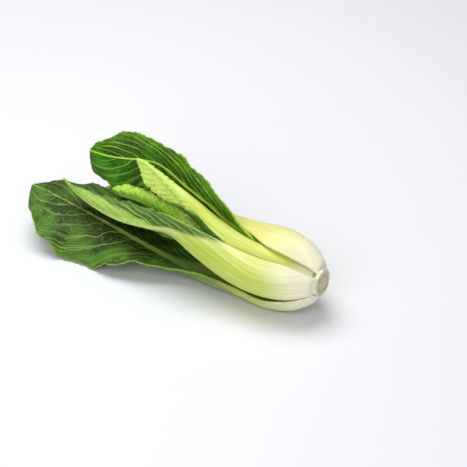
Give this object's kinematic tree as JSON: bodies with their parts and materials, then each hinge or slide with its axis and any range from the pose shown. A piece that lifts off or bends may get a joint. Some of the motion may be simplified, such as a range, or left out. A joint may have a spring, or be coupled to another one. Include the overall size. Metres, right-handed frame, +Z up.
{
  "type": "green-stemmed bok choy head",
  "caption": "Small head of green-stemmed bok choy lying on its side: swollen pale stalks, dark glossy veined leaves and young heart leaves round a cut butt.",
  "frame": {"origin": "centre of the head's box, at the surface it lies on", "axes": "+X along the head, from the leaf tips towards the cut butt; +Z up; the side shown in front looks towards -Y"},
  "size_m": [0.2482, 0.1184, 0.0915],
  "materials": {
    "butt": "satin, freshly cut stem",
    "leaf_back": "satin stalk, glossy dark green blade",
    "leaf_front": "satin stalk, glossy green blade",
    "leaf_under": "satin stalk, glossy dark green blade",
    "leaf_rear": "satin stalk, glossy dark green blade",
    "leaf_folded": "satin, pale yellow-green underside",
    "leaf_tall": "glossy dark green blade with pale veins",
    "leaf_ruffled": "satin, bright green blade",
    "leaf_low": "satin stalk, glossy green blade",
    "leaf_heart_upper": "satin, young light green",
    "leaf_heart_front": "satin, young light green",
    "leaf_heart_rear": "satin, young light green"
  },
  "bodies": {
    "root": {"butt": "butt", "leaf_back": "leaf_back", "leaf_front": "leaf_front", "leaf_under": "leaf_under", "leaf_rear": "leaf_rear", "leaf_folded": "leaf_folded", "leaf_tall": "leaf_tall", "leaf_ruffled": "leaf_ruffled", "leaf_low": "leaf_low", "leaf_heart_upper": "leaf_heart_upper", "leaf_heart_front": "leaf_heart_front", "leaf_heart_rear": "leaf_heart_rear"}
  },
  "joints": []
}
